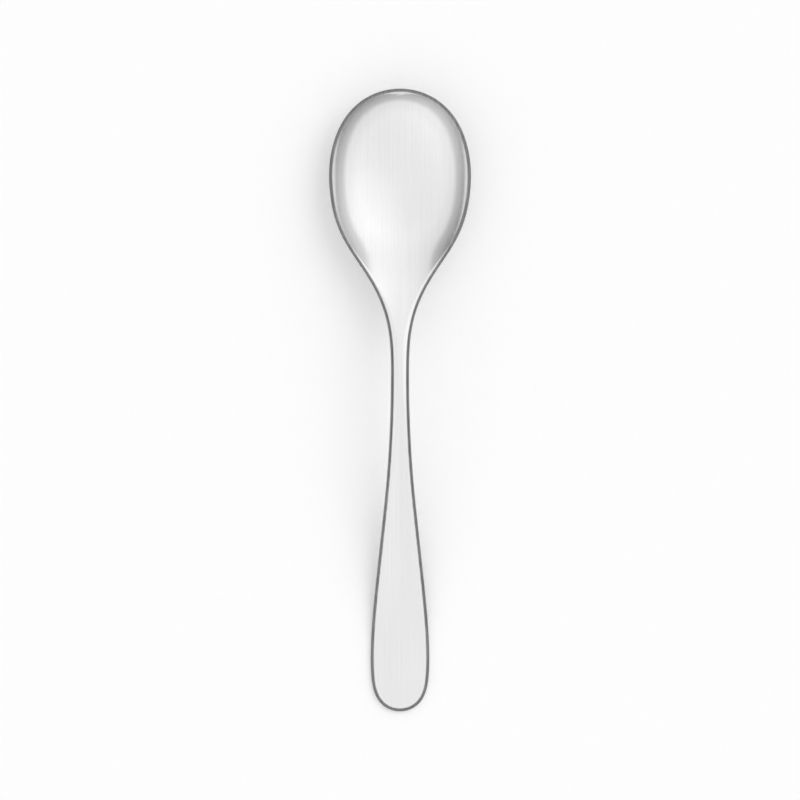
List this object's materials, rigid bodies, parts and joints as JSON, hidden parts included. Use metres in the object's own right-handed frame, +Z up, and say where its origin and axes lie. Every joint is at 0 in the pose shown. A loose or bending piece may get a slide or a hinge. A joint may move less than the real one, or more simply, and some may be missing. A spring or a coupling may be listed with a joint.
{
  "type": "soup spoon",
  "caption": "Solid steel soup spoon with a broad egg-shaped bowl, a slim raised neck and a flat handle that widens to a round tail.",
  "frame": {"origin": "on the table that the spoon lies on, under the middle of its length and width", "axes": "+Y along the spoon towards the tip of the bowl, +Z up out of the open bowl, +X across to the right"},
  "size_m": [0.0456, 0.2, 0.0206],
  "materials": {
    "polished_steel": "polished"
  },
  "bodies": {
    "root": {"spoon": "polished_steel"}
  },
  "joints": []
}
